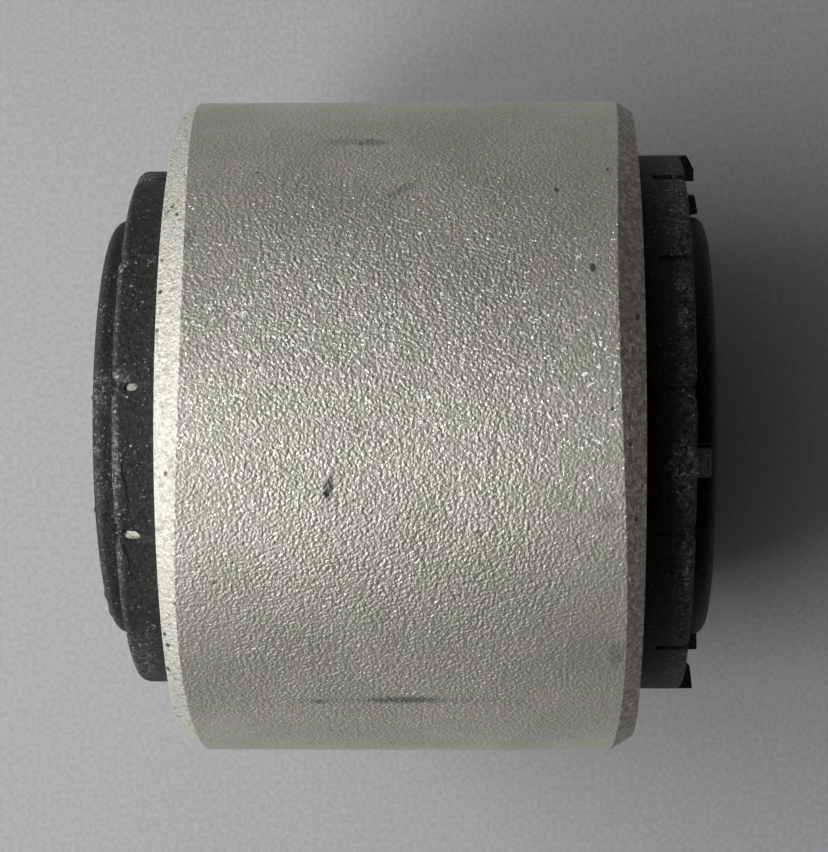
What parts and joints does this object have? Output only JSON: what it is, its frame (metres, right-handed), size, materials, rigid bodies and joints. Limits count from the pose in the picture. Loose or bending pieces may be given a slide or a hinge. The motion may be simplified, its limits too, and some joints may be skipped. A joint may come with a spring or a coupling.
{
  "type": "rubber metal bush",
  "caption": "Bonded rubber and metal suspension bush: thick chamfered aluminium sleeve, black rubber collars and discs standing out of both ends, steel inner sleeve for a bolt.",
  "frame": {"origin": "on the bolt bore's axis, half way along the inner sleeve", "axes": "+Z along the bore axis, from the plain end, which it stands on, to the end with the rubber nubs; +X towards the foot of the reference picture, and the picture looks along +Y"},
  "size_m": [0.06, 0.06, 0.0546],
  "materials": {
    "outer_sleeve": "fine grit-blasted",
    "rubber_body": "moulded, dusty",
    "support_ring": "bare where it shows",
    "inner_sleeve": "turned ends"
  },
  "bodies": {
    "root": {"outer_sleeve": "outer_sleeve", "rubber_body": "rubber_body", "support_ring": "support_ring", "inner_sleeve": "inner_sleeve"}
  },
  "joints": []
}
